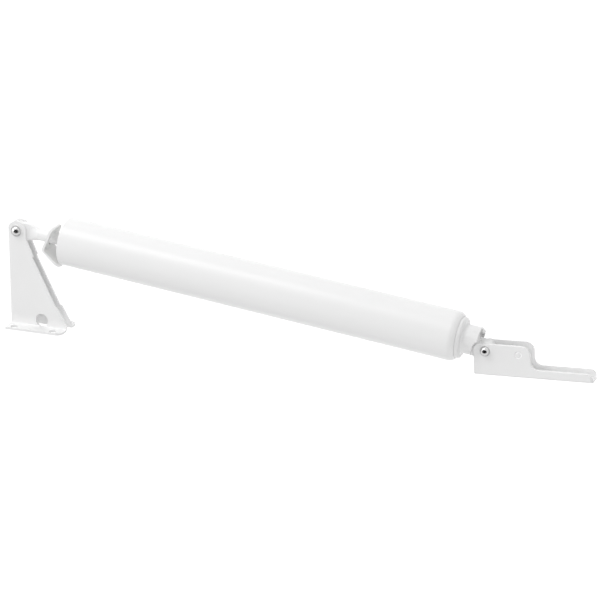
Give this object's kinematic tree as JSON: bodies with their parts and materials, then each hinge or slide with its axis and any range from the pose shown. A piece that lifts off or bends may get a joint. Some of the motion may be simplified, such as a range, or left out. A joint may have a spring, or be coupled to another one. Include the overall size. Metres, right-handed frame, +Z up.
{
  "type": "pneumatic screen door closer",
  "caption": "Air-cylinder door closer: sprung rod with hold-open washer, jamb bracket with outward feet, and a channel door bracket.",
  "frame": {"origin": "middle of the jamb bracket's screw holes, on the jamb's face", "axes": "+X along the jamb towards the door bracket, +Y away from the jamb's face, +Z up along the hinge pins towards their domed heads"},
  "size_m": [0.3947, 0.0772, 0.0318],
  "materials": {
    "white_tube": "gloss white enamel",
    "white_bracket": "semi-gloss white powder coat",
    "white_cap": "semi-gloss white enamel on die casting",
    "white_rod": "gloss white enamel on steel",
    "pin_steel": "bright nickel plate",
    "zinc_steel": "zinc plate",
    "spring_steel": "oiled spring wire",
    "guide_plastic": "natural acetal",
    "felt": "grey felt",
    "black_rubber": "greased nitrile rubber"
  },
  "bodies": {
    "jamb": {"jamb_bracket": "white_bracket", "jamb_pin": "pin_steel", "jamb_pin_clip": "zinc_steel"},
    "rod": {"rod": "white_rod", "piston_washer": "zinc_steel", "piston": "guide_plastic", "piston_cup": "black_rubber", "cup_plate": "zinc_steel", "piston_nut": "zinc_steel"},
    "cylinder": {"tube": "white_tube", "guide_ring": "zinc_steel", "rod_guide": "guide_plastic", "rod_wiper": "felt", "spring_seat": "zinc_steel", "return_spring": "spring_steel", "end_bumper": "black_rubber", "end_cap": "white_cap", "end_cap_seal": "black_rubber", "screw_seal": "black_rubber"},
    "washer": {"hold_open_washer": "white_bracket"},
    "screw": {"adjusting_screw": "zinc_steel"},
    "door": {"door_bracket": "white_bracket", "door_pin": "pin_steel", "door_pin_clip": "zinc_steel"}
  },
  "joints": [
    {"name": "jamb_pivot", "type": "hinge", "parent": "jamb", "child": "rod", "pos_m": [-0.013, 0.0655, 0], "axis": [0, 0, 1], "range_deg": [-8, 110]},
    {"name": "rod_slide", "type": "slide", "parent": "rod", "child": "cylinder", "axis": [0.9932, -0.1167, 0], "range_m": [0, 0.13], "stiffness_N_per_m": 300, "springref_m": -0.06, "deforming": ["return_spring"]},
    {"name": "washer_slide", "type": "slide", "parent": "cylinder", "child": "washer", "axis": [0.9932, -0.1167, 0], "range_m": [-0.005, 0]},
    {"name": "screw_turn", "type": "hinge", "parent": "cylinder", "child": "screw", "pos_m": [0.30254, 0.03447, 0], "axis": [0.9932, -0.1167, 0], "range_deg": [-90, 450]},
    {"name": "door_pivot", "type": "hinge", "parent": "cylinder", "child": "door", "pos_m": [0.30667, 0.02513, 0], "axis": [0, 0, 1], "range_deg": [-20, 80]}
  ]
}
